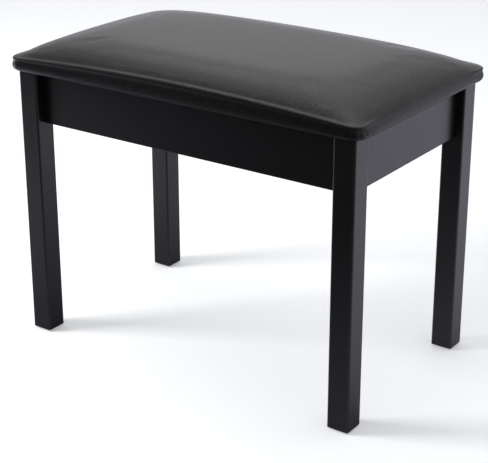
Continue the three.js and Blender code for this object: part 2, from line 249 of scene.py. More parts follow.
APRON_EDGE = 0.001
APRON_END = 0.0004

for node, along in (("front", 0), ("back", 0), ("left", 1), ("right", 1)):
    lacquer = satin_lacquer(f"lacquer_on_apron_{node}", along)
    timber(f"painted_apron_{node}", f"apron_{node}", along, APRON_EDGE, 3, APRON_END, lacquer)


# ---------- Corner blocks ----------
# Raw softwood blocks, sawn at 45 degrees, glued and screwed across the frame's inner corners.
# Each is bored for its leg's bolt, for its own two screws and for the screw that holds the seat.

BLOCK_THICKNESS = 0.022
BLOCK_EDGE = 0.0007
BORE_ROOM = 0.00015  # round a screw or bolt, in its hole
BORE_REACH = 0.06  # from the middle of the block, each way, so that a bore goes right through
HEAD_REACH = 0.05  # below a screw's head
AXIS_WELD = 1e-6  # joins what a spin leaves doubled on its axis
BLOCK_SCREW = {"shank": 0.004, "head": 0.008, "rise": 0.0026, "length": 0.017}
SEAT_SCREW = {"shank": 0.0045, "head": 0.0086, "rise": 0.003, "length": 0.045}
BOLT_RADIUS = 0.003
PINE_PALE = (0.56, 0.37, 0.19, 1)
PINE_DARK = (0.33, 0.18, 0.075, 1)
PINE_RINGS = 45  # to a metre
PINE_STREAKS = (30, 30, 260)  # patches to a metre along each axis
SAW_MARKS = (400, 400, 1400)


def turned(profile, steps=28):
    """A round solid about the z axis, from (radius, height) pairs that start and end on it."""
    bm = bmesh.new()
    verts = [bm.verts.new((radius, 0, height)) for radius, height in profile]
    edges = [bm.edges.new(pair) for pair in zip(verts, verts[1:])]
    settings = {"cent": (0, 0, 0), "axis": (0, 0, 1), "angle": math.tau, "use_merge": True}
    bmesh.ops.spin(bm, geom=verts + edges, steps=steps, **settings)
    bmesh.ops.remove_doubles(bm, verts=bm.verts, dist=AXIS_WELD)
    bmesh.ops.recalc_face_normals(bm, faces=bm.faces)
    return bm


def stand(bm, place, way):
    """Turns a solid that stands along z to point another way, and moves it to its place."""
    turn = Vector((0, 0, 1)).rotation_difference(way).to_matrix().to_4x4()
    bmesh.ops.transform(bm, matrix=Matrix.Translation(place) @ turn, verts=bm.verts)
    return bm


def carved(body, tool, operation="DIFFERENCE"):
    """What is left of a solid when a tool is cut out of it, or what of it is inside the tool."""
    pair = []
    for bm in (body, tool):
        mesh = bpy.data.meshes.new("solid")
        bm.to_mesh(mesh)
        bm.free()
        pair.append(bpy.data.objects.new("solid", mesh))
        bpy.context.scene.collection.objects.link(pair[-1])
    carve = pair[0].modifiers.new("carve", "BOOLEAN")
    carve.object = pair[1]
    carve.operation = operation
    solved = pair[0].evaluated_get(bpy.context.evaluated_depsgraph_get())
    bm = bmesh.new()
    bm.from_mesh(solved.data)
    for solid in pair:
        bpy.data.meshes.remove(solid.data)
    bmesh.ops.remove_doubles(bm, verts=bm.verts, dist=WELD)
    return bm


def inward(corner):
    """The level direction from a corner's leg to the middle of the bench."""
    across, deep = CORNERS[corner]
    return Vector((-across, -deep, 0)).normalized()


def middle(node):
    low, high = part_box(node)
    return (low + high) / 2


def under_head(node, way, rise):
    """Where the underside of a screw's head is, when its tip points that way."""
    low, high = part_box(node)
    return middle(node) - way * (abs((high - low).dot(way)) / 2 - rise)


def screw_ways(corner):
    """Which way each of a corner's screws points."""
    across, deep = CORNERS[corner]
    return {
        f"block_screw_long_{corner}": (Vector((0, deep, 0)), BLOCK_SCREW),
        f"block_screw_short_{corner}": (Vector((across, 0, 0)), BLOCK_SCREW),
        f"seat_screw_{corner}": (Vector((0, 0, 1)), SEAT_SCREW),
    }


def screw_bore(size):
    """A pilot hole, with a wider hole for the head below it."""
    wide = size["head"] / 2 + BORE_ROOM
    narrow = size["shank"] / 2 + BORE_ROOM
    end = size["length"] + BORE_ROOM
    return turned((
        (0, -HEAD_REACH), (wide, -HEAD_REACH), (wide, 0), (narrow, 0), (narrow, end), (0, end),
    ))


def corner_block(corner):
    """A triangle of wood with its point cut off, bored for its bolt and screws."""
    low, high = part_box(f"corner_block_{corner}")
    across, deep = CORNERS[corner]
    outer = Vector((high.x if across > 0 else low.x, high.y if deep > 0 else low.y, low.z))
    far = high.x - low.x
    near = far - BLOCK_THICKNESS * math.sqrt(2)
    bm = bmesh.new()
    outline = ((near, 0), (far, 0), (0, far), (0, near))
    verts = [bm.verts.new(outer - Vector((across * a, deep * b, 0))) for a, b in outline]
    base = bm.faces.new(verts)
    made = bmesh.ops.extrude_face_region(bm, geom=[base])["geom"]
    lifted = [item for item in made if isinstance(item, bmesh.types.BMVert)]
    bmesh.ops.translate(bm, vec=(0, 0, high.z - low.z), verts=lifted)
    bmesh.ops.recalc_face_normals(bm, faces=bm.faces)
    round_over(bm, bm.edges[:], BLOCK_EDGE, 2)
    bore = BOLT_RADIUS + BORE_ROOM
    bolt = turned(((0, -BORE_REACH), (bore, -BORE_REACH), (bore, BORE_REACH), (0, BORE_REACH)))
    bm = carved(bm, stand(bolt, middle(f"leg_bolt_{corner}"), inward(corner)))
    for node, (way, size) in screw_ways(corner).items():
        bm = carved(bm, stand(screw_bore(size), under_head(node, way, size["rise"]), way))
    return bm


def sawn_pine(name):
    """Pale softwood with growth rings across the block and saw marks."""
    finish, start = new_finish(name)
    wander = mottle(start, 1, detail=4, vector=stretched(start, PINE_STREAKS))
    rings = start.node(
        "TexWave",
        {"wave_type": "RINGS", "rings_direction": "Z"},
        {"Vector": on_piece(start), "Scale": PINE_RINGS, "Distortion": 3, "Detail": 3},
        output="Fac",
    )
    colour = blend_colours(start, rings * 0.55 + wander * 0.3, PINE_PALE, PINE_DARK)
    saw = mottle(start, 1, detail=2, vector=stretched(start, SAW_MARKS))
    surface(start, colour, 0.62 + wander * 0.2, saw + rings * 0.5, 0.0002)
    return finish


pine = sawn_pine("sawn_pine")
for corner in CORNERS:
    name = f"corner_block_{corner}"
    even_shading(add_piece(f"pine_{name}", corner_block(corner), pine, "block_wood", name))


# ---------- Bolts, washers, nuts and screws ----------
# Bright zinc plated steel. A hanger bolt is screwed into each leg and drawn through its block by
# a nut on a washer. The screws have pan heads with a cross recess.

BOLT_POINT_RADIUS = 0.0009
BOLT_POINT_LENGTH = 0.0045
BOLT_SHOULDER = 0.001  # between the plain shank and its threads
BOLT_RUNOUT = 0.0006
BOLT_TIP = 0.0004
BOLT_CHAMFER = 0.001
BOLT_PITCH = 0.001
BOLT_THREADED = 0.034  # the length that takes the nut
BOLT_IN_WOOD = 0.019
WOOD_THREAD_FROM = 0.005  # from the bolt's point
NUT_THREAD_TO = 0.0008  # from the bolt's tip
THREAD_STEPS = 12  # to a turn
THREAD_ROOT = 0.80  # of the radius over the thread
THREAD_SUNK = 0.95  # of the core's radius, where the thread's foot is
THREAD_WIDTH = 0.42  # of the pitch, to each side of the crest
SCREW_PITCH = 0.42  # of the shank's diameter
SCREW_NECK = (0.0008, 0.0014)  # where the plain neck under the head ends, and the core starts
SCREW_POINT = 1.6  # the point's length, in diameters of the shank
SCREW_THREAD_FROM = 0.002
SCREW_THREAD_TO = 1.4  # diameters of the shank, from the tip
# The heads' outlines, as shares of the head's radius and of its height.
PAN_HEAD = ((0, 1), (0.45, 0.99), (0.72, 0.90), (0.90, 0.70), (0.98, 0.42), (1, 0.15), (1, 0))
FLAT_HEAD = ((0, 1), (0.97, 1), (1, 0.88))
WASHER_RADIUS = 0.009
WASHER_THICKNESS = 0.0016
WASHER_EDGE = 0.00035
NUT_FLATS = 0.010
NUT_HEIGHT = 0.005
NUT_CORNER = 0.0008  # how far the chamfer reaches down the nut's corners
NUT_ROUND = 0.0002  # how far the turned blank reaches past the hexagon's corners
NUT_LEAD = 0.0004  # how much wider the hole is at its mouths
NUT_LEAD_FROM = 0.85  # of half the nut's height
RECESS_WIDTH = 0.0010
RECESS_REACH = 0.56  # of the head's diameter
RECESS_DEPTH = 0.0015
RECESS_FOOT = (0.3, 0.5)  # of its reach and its width, at the bottom
ZINC_BRIGHT = (0.62, 0.63, 0.66, 1)
ZINC_YELLOW = (0.56, 0.53, 0.44, 1)
ZINC_CLOUDS = 220  # to a metre
ZINC_SCRATCHES = 2600


def add_thread(bm, radius, pitch, low, high):
    """Winds a closed V-shaped thread round the z axis."""
    root = radius * THREAD_ROOT * THREAD_SUNK
    half = pitch * THREAD_WIDTH
    points = ((root, low - half), (radius, low), (root, low + half))
    face = bm.faces.new([bm.verts.new((across, 0, height)) for across, height in points])
    turns = (high - low) / pitch
    steps = round(turns * THREAD_STEPS)
    settings = {"cent": (0, 0, 0), "axis": (0, 0, 1), "dvec": (0, 0, (high - low) / steps)}
    bmesh.ops.spin(bm, geom=[face], angle=math.tau * turns, steps=steps, **settings)
    rims = [edge for edge in bm.edges if edge.is_boundary]
    if rims:
        bmesh.ops.holes_fill(bm, edges=rims, sides=3)


def hanger_bolt(length):
    """A bolt with a coarse thread for the leg, a plain shank and a fine thread for the nut."""
    root = BOLT_RADIUS * THREAD_ROOT
    fine = length - BOLT_THREADED
    bm = turned((
        (0, 0), (BOLT_POINT_RADIUS, 0), (root, BOLT_POINT_LENGTH), (root, BOLT_IN_WOOD),
        (BOLT_RADIUS, BOLT_IN_WOOD + BOLT_SHOULDER), (BOLT_RADIUS, fine), (root, fine + BOLT_RUNOUT),
        (root, length - BOLT_TIP), (root - BOLT_TIP, length), (0, length),
    ))
    add_thread(bm, BOLT_RADIUS, BOLT_PITCH * 2, WOOD_THREAD_FROM, BOLT_IN_WOOD - BOLT_SHOULDER)
    add_thread(bm, BOLT_RADIUS, BOLT_PITCH, fine + BOLT_SHOULDER, length - NUT_THREAD_TO)
    return bm


def washer():
    half = WASHER_THICKNESS / 2
    hole = BOLT_RADIUS + BORE_ROOM
    bm = turned((
        (0, -half), (WASHER_RADIUS - WASHER_EDGE, -half), (WASHER_RADIUS, -half + WASHER_EDGE),
        (WASHER_RADIUS, half - WASHER_EDGE / 2), (WASHER_RADIUS - WASHER_EDGE / 2, half), (0, half),
    ), 40)
    return carved(bm, turned(((0, -half * 2), (hole, -half * 2), (hole, half * 2), (0, half * 2))))


def hexagon_nut():
    """A hexagon cut from a turned blank, so its corners are chamfered, then drilled."""
    half = NUT_HEIGHT / 2
    bm = bmesh.new()
    reach = NUT_FLATS / math.sqrt(3)
    settings = {"cap_ends": True, "segments": 6, "depth": NUT_HEIGHT * 1.5}
    bmesh.ops.create_cone(bm, radius1=reach, radius2=reach, **settings)
    blank = reach + NUT_ROUND
    flat = NUT_FLATS / 2
    bm = carved(bm, turned((
        (0, -half), (flat, -half), (blank, -half + NUT_CORNER), (blank, half - NUT_CORNER),
        (flat, half), (0, half),
    ), 48), "INTERSECT")
    hole = BOLT_RADIUS + BORE_ROOM
    wide = hole + NUT_LEAD
    lead = half * NUT_LEAD_FROM
    past = half * 1.2
    return carved(bm, turned((
        (0, -past), (wide, -past), (wide, -half), (hole, -lead), (hole, lead), (wide, half),
        (wide, past), (0, past),
    )))


def wood_screw(shank, head, rise, length, countersunk=False):
    """A cross-recessed screw along z. The underside of its head is at nought."""
    radius = shank / 2
    root = radius * THREAD_ROOT
    side = head / 2
    top = [(side * out, -rise * up) for out, up in (FLAT_HEAD if countersunk else PAN_HEAD)]
    neck, core = SCREW_NECK
    stem = ((radius, 0), (radius, neck), (root, core), (root, length - shank * SCREW_POINT), (0, length))
    bm = turned((*top, *stem))
    for turn in (0, math.pi / 2):
        blade = bmesh.new()
        bmesh.ops.create_cube(blade, size=1)
        for vert in blade.verts:
            if vert.co.z > 0:
                vert.co.x *= RECESS_FOOT[0]
                vert.co.y *= RECESS_FOOT[1]
        bmesh.ops.scale(blade, vec=(head * RECESS_REACH, RECESS_WIDTH, RECESS_DEPTH * 2), verts=blade.verts)
        bmesh.ops.rotate(blade, cent=(0, 0, 0), matrix=Matrix.Rotation(turn, 3, "Z"), verts=blade.verts)
        bmesh.ops.translate(blade, vec=(0, 0, -rise), verts=blade.verts)
        bm = carved(bm, blade)
    add_thread(bm, radius, shank * SCREW_PITCH, SCREW_THREAD_FROM, length - shank * SCREW_THREAD_TO)
    return bm


def zinc_plate(name):
    finish, start = new_finish(name)
    cloud = mottle(start, ZINC_CLOUDS, detail=3)
    scratch = mottle(start, ZINC_SCRATCHES, detail=2)
    colour = blend_colours(start, cloud * 0.6, ZINC_BRIGHT, ZINC_YELLOW)
    surface(start, colour, 0.22 + cloud * 0.2, scratch, 0.00002, {"Metallic": 1})
    return finish


zinc = zinc_plate("zinc_plate")


def add_metal(name, bm, node):
    even_shading(add_piece(name, bm, zinc, "zinc_steel", node))


for corner in CORNERS:
    way = inward(corner)
    low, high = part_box(f"leg_bolt_{corner}")
    end_radius = BOLT_RADIUS - BOLT_CHAMFER
    length = (high.x - low.x) * math.sqrt(2) - BOLT_POINT_RADIUS - end_radius
    start = (low + high) / 2 - way * (length + end_radius - BOLT_POINT_RADIUS) / 2
    add_metal(f"hanger_bolt_{corner}", stand(hanger_bolt(length), start, way), f"leg_bolt_{corner}")
    for kind, form in (("washer", washer()), ("nut", hexagon_nut())):
        node = f"leg_{kind}_{corner}"
        add_metal(f"zinc_{kind}_{corner}", stand(form, middle(node), way), node)
    for node, (way, size) in screw_ways(corner).items():
        place = under_head(node, way, size["rise"])
        add_metal(f"pan_head_{node}", stand(wood_screw(**size), place, way), node)


# ---------- Glides ----------
# Moulded plastic discs under the legs, each held by one countersunk screw in a dished middle.

GLIDE_SCREW = {"shank": 0.003, "head": 0.0056, "rise": 0.0017, "length": 0.014}
GLIDE_EDGE = 0.001
GLIDE_STEP = 0.0003  # how far the middle is dished, and the rounding of the upper edge
GLIDE_RING = (0.52, 0.56)  # of the radius, where the dish ends and the ring starts
HEAD_SUNK = 0.0004  # the screw's head, in its hole
PLASTIC_BLACK = (0.010, 0.010, 0.011, 1)
PLASTIC_SCUFFED = (0.09, 0.09, 0.088, 1)


def glide_form(radius, height):
    """A disc with a rounded lower edge, a moulded ring and a dished hole for the screw."""
    bm = turned((
        (0, GLIDE_STEP), (radius * GLIDE_RING[0], GLIDE_STEP), (radius * GLIDE_RING[1], 0),
        (radius - GLIDE_EDGE, 0), (radius - GLIDE_EDGE * 0.4, GLIDE_EDGE * 0.2), (radius, GLIDE_EDGE),
        (radius, height - GLIDE_STEP), (radius - GLIDE_STEP, height), (0, height),
    ), 48)
    wide = GLIDE_SCREW["head"] / 2 + BORE_ROOM
    narrow = GLIDE_SCREW["shank"] / 2 + BORE_ROOM
    seat = HEAD_SUNK + GLIDE_SCREW["rise"]
    past = height * 2
    return carved(bm, turned((
        (0, -0.001), (wide, -0.001), (wide, HEAD_SUNK), (narrow, seat), (narrow, past), (0, past),
    )))


def moulded_plastic(name):
    finish, start = new_finish(name)
    grit = mottle(start, 1500, detail=2)
    scuff = ramp(start, mottle(start, 160, detail=5), (0.5, (0, 0, 0, 1)), (0.75, (1, 1, 1, 1)))
    amount = start.node("RGBToBW", None, {"Color": scuff})
    colour = blend_colours(start, amount * 0.5, PLASTIC_BLACK, PLASTIC_SCUFFED)
    surface(start, colour, 0.45 + amount * 0.25, grit, 0.00005)
    return finish


plastic = moulded_plastic("moulded_plastic")
upward = Vector((0, 0, 1))
for corner in CORNERS:
    node = f"glide_{corner}"
    low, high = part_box(node)
    form = glide_form((high.x - low.x) / 2, high.z - low.z)
    place = Vector((middle(node).x, middle(node).y, low.z))
    piece = add_piece(f"dished_{node}", stand(form, place, upward), plastic, "glide_plastic", node)
    even_shading(piece)
    node = f"glide_screw_{corner}"
    form = wood_screw(**GLIDE_SCREW, countersunk=True)
    add_metal(f"flat_head_{node}", stand(form, under_head(node, upward, GLIDE_SCREW["rise"]), upward), node)


# ---------- Seat board ----------
# A plywood board under the foam. Its corners are rounded to the seat's outline, and its edges are
# eased so that they don't cut the vinyl.

BOARD_CORNER = 0.0135
BOARD_EDGE = 0.001
PLY_FACE = (0.50, 0.34, 0.19, 1)
PLY_CORE = (0.27, 0.155, 0.07, 1)
PLY_LAYERS = 340  # layer pairs to a metre of thickness
PLY_GRAIN = (14, 320, 60)  # patches to a metre along each axis
SHARP = 1  # radians between two faces


def board_form():
    bm = block_between(*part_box("seat_board"))
    round_over(bm, edges_along(bm, 2), BOARD_CORNER, 8)
    flat = [edge for edge in edges_along(bm, 2, False) if edge.calc_face_angle() > SHARP]
    round_over(bm, flat, BOARD_EDGE, 3)
    return bm


def plywood(name):
    finish, start = new_finish(name)
    layers = start.sum("PINGPONG", on_piece(start).axis("Z") * PLY_LAYERS, 1)
    grain = mottle(start, 1, detail=4, vector=stretched(start, PLY_GRAIN))
    colour = blend_colours(start, layers * 0.35 + grain * 0.4, PLY_FACE, PLY_CORE)
    surface(start, colour, 0.66 + grain * 0.15, grain, 0.0002)
    return finish


even_shading(add_piece("plywood_board", board_form(), plywood("plywood"), "board_wood", "seat_board"))


# ---------- Foam pad ----------
# A slab of foam, glued on the board and down past its edges. It is cut square along the two long
# sides, which makes the seat's ridge, and its middle stands proud as a low crown.

FOAM_PRESSED = 0.0035  # how far the foam's faces lie inside the cover's outer face
RIDGE_HEIGHT = 0.0315  # of the seat above its underside, at the middle of the long sides
CORNER_DROP = 0.0115  # how much lower the ridge is at the corners
END_DROP = 0.0075  # and at the middle of the short sides
RIDGE_INSET = 0.0055  # inside the seat's widest line
RIDGE_LIP = 0.003  # the nearly level strip inside the ridge
RIDGE_RETURN = 0.060  # how far the ridge goes on along the short sides before it has faded
RETURN_FADE = 0.045
CROWN_END = 9.0  # how flat the crown is along the seat; higher is flatter
CROWN_SIDE = 6.8  # and across it
CROWN_ROOM = 0.001  # left above the crown for the cover to swell into
CORNER_RADIUS = 0.024
TIGHTEST = 0.006  # the smallest radius of a ring's corners
WIDEST_HEIGHT = 0.0075
GRID_ALONG = 80
GRID_ACROSS = 52
GRID_CROWDING = 0.72  # how much closer the grid's lines are at the edges than in the middle
# Over the edge: shares of the way out to the widest line, and of the way down to it.
SQUARE_EDGE = (
    (0.34, 0.018), (0.60, 0.055), (0.78, 0.115), (0.83, 0.20), (0.71, 0.29), (0.64, 0.38),
    (0.70, 0.50), (0.84, 0.66), (0.95, 0.83), (1, 1),
)
ROLLED_EDGE = (
    (0.16, 0.05), (0.32, 0.11), (0.46, 0.18), (0.58, 0.26), (0.69, 0.35), (0.79, 0.46),
    (0.87, 0.58), (0.94, 0.71), (0.985, 0.86), (1, 1),
)
# Under the widest line: how far inside the pad's face, and how far above the board's underside.
FOAM_SKIRT = ((0.0002, 0.002), (0.0015, 0))
TINY = 1e-7
FOAM_CREAM = (0.70, 0.60, 0.36, 1)
FOAM_SHADE = (0.48, 0.38, 0.19, 1)

seat_low, seat_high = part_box("seat_cover")
board_low, board_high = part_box("seat_board")
underside = seat_low.z
ridge_x = seat_high.x - RIDGE_INSET
ridge_y = seat_high.y - RIDGE_INSET
ridge_radius = CORNER_RADIUS - RIDGE_INSET
crown = seat_high.z - underside - RIDGE_HEIGHT - CROWN_ROOM


def clamped(value):
    return max(0, min(1, value))


def squareness(y):
    """1 where the edge is cut square, falling to 0 along the short sides, where it rolls over."""
    share = clamped((abs(y) - (ridge_y - RIDGE_RETURN)) / RETURN_FADE)
    return share * share * (3 - 2 * share)


def ridge_height(x, y):
    """Height of the ridge above the underside, lowest at the corners."""
    along = min(1, abs(x) / ridge_x)
    across = min(1, abs(y) / ridge_y)
    return RIDGE_HEIGHT - CORNER_DROP * along**2 * across**2 - END_DROP * along**6 * (1 - across**2)


def crown_height(x, y):
    """Height of the crown above the ridge."""
    along = min(1, abs(x) / (ridge_x - RIDGE_LIP * squareness(y)))
    across = min(1, abs(y) / (ridge_y - RIDGE_LIP))
    return crown * (1 - along**CROWN_END) * (1 - across**CROWN_SIDE)


def beside_ridge(start, out, height):
    """The point that far outside the ridge line, or inside it below nought, at that height."""
    core = Vector((ridge_x - ridge_radius, ridge_y - ridge_radius))
    radius = max(TIGHTEST, ridge_radius + out)
    new_core = Vector((ridge_x + out - radius, ridge_y + out - radius))
    beyond = Vector((max(0, abs(start.x) - core.x), max(0, abs(start.y) - core.y)))
    if beyond.length > TINY:
        beyond *= radius / beyond.length
    x = min(abs(start.x), core.x) * new_core.x / core.x + beyond.x
    y = min(abs(start.y), core.y) * new_core.y / core.y + beyond.y
    return Vector((math.copysign(x, start.x), math.copysign(y, start.y), underside + height))


def crowded(share):
    """Shares from -1 to 1, with the lines closer towards the ends."""
    return share * (1 - GRID_CROWDING) + math.sin(share * math.pi / 2) * GRID_CROWDING


def pad_top(skin):
    """The crowned top as far as the ridge, a skin's thickness below the seat's own top."""
    bm = bmesh.new()
    bmesh.ops.create_grid(bm, x_segments=GRID_ALONG, y_segments=GRID_ACROSS, size=1)
    for vert in bm.verts:
        vert.co.x = crowded(vert.co.x) * ridge_x
        vert.co.y = crowded(vert.co.y) * ridge_y
        reach = Vector((
            max(0, abs(vert.co.x) - (ridge_x - ridge_radius)),
            max(0, abs(vert.co.y) - (ridge_y - ridge_radius)),
        ))
        if reach.x > 0 and reach.y > 0:
            reach *= max(reach) / reach.length
            vert.co.x = math.copysign(ridge_x - ridge_radius + reach.x, vert.co.x)
            vert.co.y = math.copysign(ridge_y - ridge_radius + reach.y, vert.co.y)
        vert.co.z = ridge_height(vert.co.x, vert.co.y) + crown_height(vert.co.x, vert.co.y)
        vert.co.z += underside - skin
    rim = [edge for edge in bm.edges if edge.is_boundary]
    starts = {vert: vert.co.copy() for edge in rim for vert in edge.verts}
    return bm, rim, starts


def next_ring(bm, rim, starts, place):
    """Draws the open rim on to a new ring, placed from where each of its points started."""
    made = bmesh.ops.extrude_edge_only(bm, edges=rim)["geom"]
    follow = {}
    for vert in made:
        if isinstance(vert, bmesh.types.BMVert):
            before = next(e.other_vert(vert) for e in vert.link_edges if e.other_vert(vert) in starts)
            follow[vert] = starts[before]
            vert.co = place(starts[before])
    return [item for item in made if isinstance(item, bmesh.types.BMEdge) and item.is_boundary], follow


def over_the_edge(step, skin):
    """Where the edge's ring of that number goes, for next_ring."""

    def place(start):
        square = squareness(start.y)
        out = ROLLED_EDGE[step][0] * (1 - square) + SQUARE_EDGE[step][0] * square
        down = ROLLED_EDGE[step][1] * (1 - square) + SQUARE_EDGE[step][1] * square
        top = ridge_height(start.x, start.y) - skin
        return beside_ridge(start, RIDGE_INSET * out - skin, top - (top - WIDEST_HEIGHT) * down)

    return place


def foam_form():
    """The pad: crown, edges, a skirt down past the board, and the hollow that the board fills."""
    bm, rim, starts = pad_top(FOAM_PRESSED)
    for step in range(len(SQUARE_EDGE)):
        rim, starts = next_ring(bm, rim, starts, over_the_edge(step, FOAM_PRESSED))
    board_out = board_high.x - ridge_x
    board_under = board_low.z - underside
    board_top = board_high.z - underside
    face = RIDGE_INSET - FOAM_PRESSED
    skirt = [(face - inside, board_under + above) for inside, above in FOAM_SKIRT]
    for out, height in (*skirt, (board_out, board_under), (board_out, board_top)):
        rim, starts = next_ring(bm, rim, starts, lambda start: beside_ridge(start, out, height))
    bmesh.ops.contextual_create(bm, geom=rim)
    return bm


def cut_foam(name):
    """Cream foam, with open cells and yellowed patches."""
    finish, start = new_finish(name)
    cells = start.node("TexVoronoi", None, {"Vector": on_piece(start), "Scale": 900})
    cloud = mottle(start, 12, detail=3)
    colour = blend_colours(start, cloud * 0.7 + cells * 0.3, FOAM_CREAM, FOAM_SHADE)
    surface(start, colour, 0.85 + cells * 0.1, cells, 0.0004)
    return finish


foam = add_piece("foam_pad", foam_form(), cut_foam("cut_foam"), "foam", "seat_foam")


# ---------- Vinyl cover ----------
# One sheet of black leather-grain vinyl, pulled down over the foam and under the board. It is
# drawn tightest at the corners, where the spare material is gathered in pleats below the ridge.

VINYL_THICKNESS = 0.001
TUCK = 0.006  # how far the vinyl goes in below the widest line
TUCK_RINGS = 5
HEM_WIDTH = 0.060
HEM_RINGS = 7
SWELL_CAP = 0.0012
SWELL_FRAMES = 20
SWELL = {
    "quality": 6, "mass": 0.4, "tension_stiffness": 40, "compression_stiffness": 40,
    "shear_stiffness": 20, "bending_stiffness": 2, "vertex_group_mass": "held", "use_pressure": True,
    "uniform_pressure_force": 4,
}
RIDGE_GRIP = 0.9  # how firmly the ridge is held
GRIP_REACH = 0.02  # inside the ridge, where the hold has faded
HEM_GRIP = 0.01  # the hold is firm to half of this above the underside, and gone at 1.5 of it
# Each pleat: how far round the corner it ends, from the corner's diagonal towards the long side;
# its width and its depth.
PLEATS = (
    (-0.041, 0.0036, 0.0005), (-0.029, 0.0040, 0.0009), (-0.017, 0.0030, 0.0011),
    (-0.003, 0.0030, 0.0006), (0.011, 0.0032, 0.0008),
)
PLEAT_FAN = 0.55  # how much closer together the pleats are at the ridge than at the bottom
PLEAT_TOP = 0.12  # where the pleats begin, as a share of the way down from the ridge
PLEAT_FADE = 0.3  # the share over which they deepen
PLEAT_FOOT = 0.003  # the height over which they fade out again
HEM_TOP = 0.0002  # the hem's points are below this
SIDE_ROOM = 0.002  # inside the tuck, where a point still counts as on the side
VINYL_BLACK = (0.0016, 0.0016, 0.0019, 1)
VINYL_LIGHTER = (0.0036, 0.0037, 0.0034, 1)
VINYL_ROUGHNESS = 0.24
VINYL_DEPTH = 0.0004
PEBBLES = 480  # to a metre
DIMPLES = 210
FINE_PORES = 2400
PEBBLE_BEND = 0.006  # how far the pebbles' outlines wander


def vinyl_form():
    """The cover's outer face: the top, over the edges, round the bottom roll and along the hem."""
    bm, rim, starts = pad_top(0)
    for step in range(len(SQUARE_EDGE)):
        rim, starts = next_ring(bm, rim, starts, over_the_edge(step, 0))
    for step in range(1, TUCK_RINGS + 1):
        angle = step / TUCK_RINGS * math.pi / 2
        out = RIDGE_INSET - TUCK * (1 - math.cos(angle))
        height = WIDEST_HEIGHT * (1 - math.sin(angle))
        rim, starts = next_ring(bm, rim, starts, lambda start: beside_ridge(start, out, height))
    for step in range(1, HEM_RINGS + 1):
        out = RIDGE_INSET - TUCK - (HEM_WIDTH - TUCK) * step / HEM_RINGS
        rim, starts = next_ring(bm, rim, starts, lambda start: beside_ridge(start, out, 0))
    return bm


def bake_modifier(piece):
    """Gives the piece the mesh that its modifiers make, and takes them off."""
    solved = piece.evaluated_get(bpy.context.evaluated_depsgraph_get())
    made = bpy.data.meshes.new_from_object(solved)
    piece.modifiers.clear()
    before = piece.data
    piece.data = made
    bpy.data.meshes.remove(before)
    made.name = piece.name


def swell(piece, cap, frames):
    """Lets air pressure round the cover out, and moves no point as far as the cap."""
    before = [vert.co.copy() for vert in piece.data.vertices]
    held = piece.vertex_groups.new(name="held")
    for vert in piece.data.vertices:
        inside = min(ridge_x - abs(vert.co.x), ridge_y - abs(vert.co.y))
        low_down = clamped(1.5 - (vert.co.z - underside) / HEM_GRIP)
        grip = max(RIDGE_GRIP * clamped(1 - inside / GRIP_REACH), low_down)
        held.add([vert.index], grip, "REPLACE")
    cloth = piece.modifiers.new("swell", "CLOTH")
    for name, value in SWELL.items():
        setattr(cloth.settings, name, value)
    cloth.settings.effector_weights.gravity = 0
    cloth.point_cache.frame_end = frames
    for number in range(1, frames + 1):
        bpy.context.scene.frame_set(number)
    bake_modifier(piece)
    for vert, old in zip(piece.data.vertices, before):
        move = vert.co - old
        if move.length > TINY:
            vert.co = old + move.normalized() * cap * math.tanh(move.length / cap)
    piece.vertex_groups.clear()
    bpy.context.scene.frame_set(1)


def round_corner(x, y):
    """How far round the outline a point is from the nearest corner's diagonal."""
    core_x = ridge_x - ridge_radius
    core_y = ridge_y - ridge_radius
    reach_x = abs(x) - core_x
    reach_y = abs(y) - core_y
    if reach_x > 0 and reach_y > 0:
        return (math.atan2(reach_y, reach_x) - math.pi / 4) * CORNER_RADIUS
    if reach_x < 0 and reach_y < 0:
        return reach_y - reach_x
    quarter = math.pi / 4 * CORNER_RADIUS
    return quarter - reach_x if reach_x < 0 else reach_y - quarter


def gather(piece):
    """Presses the pleats into the side at each corner; they fan out from below the ridge."""
    ways = [vert.normal.copy() for vert in piece.data.vertices]
    for vert, way in zip(piece.data.vertices, ways):
        x, y = vert.co.x, vert.co.y
        height = vert.co.z - underside
        top = ridge_height(x, y)
        inside = min(seat_high.x - abs(x), seat_high.y - abs(y))
        if height < HEM_TOP or inside > TUCK + SIDE_ROOM:
            continue
        down = clamped((top - height) / top)
        fade = clamped((down - PLEAT_TOP) / PLEAT_FADE) * clamped(height / PLEAT_FOOT)
        where = round_corner(x, y) / (1 - PLEAT_FAN * (1 - down))
        press = 0
        for centre, width, depth in PLEATS:
            press += depth * math.exp(-((where - centre) / width) ** 2)
        vert.co -= way * press * fade


def grained_vinyl(name):
    """Black vinyl with a pebbled leather grain, which is a little shinier on its high spots."""
    finish, start = new_finish(name)
    place = on_piece(start)
    wobble = start.node("TexNoise", None, {"Vector": place, "Scale": 90, "Detail": 2}, output="Color")
    shift = start.node("VectorMath", {"operation": "SCALE"}, {0: wobble, "Scale": PEBBLE_BEND})
    bent = start.node("VectorMath", {"operation": "ADD"}, {0: place, 1: shift})
    sockets = {"Vector": bent, "Scale": PEBBLES}
    pebble = start.node("TexVoronoi", {"feature": "DISTANCE_TO_EDGE"}, sockets)
    valley = start.sum("MINIMUM", pebble * 5, 1)
    cloud = mottle(start, 5, detail=3)
    dimple = mottle(start, DIMPLES, detail=3)
    fine = mottle(start, FINE_PORES, detail=2)
    # Painted shade: the grain's grooves are coloured a little darker than its high spots. The cloud is the
    # vinyl's own patchy tone.
    colour = blend_colours(start, cloud * 0.6 + valley * 0.2, VINYL_BLACK, VINYL_LIGHTER)
    roughness = VINYL_ROUGHNESS + cloud * 0.06 + (1 - valley) * 0.07 + dimple * 0.05
    grain = valley * 0.4 + fine * 0.1 + dimple * 0.9
    surface(start, colour, roughness, grain, VINYL_DEPTH, {"Specular IOR Level": 0.32})
    return finish


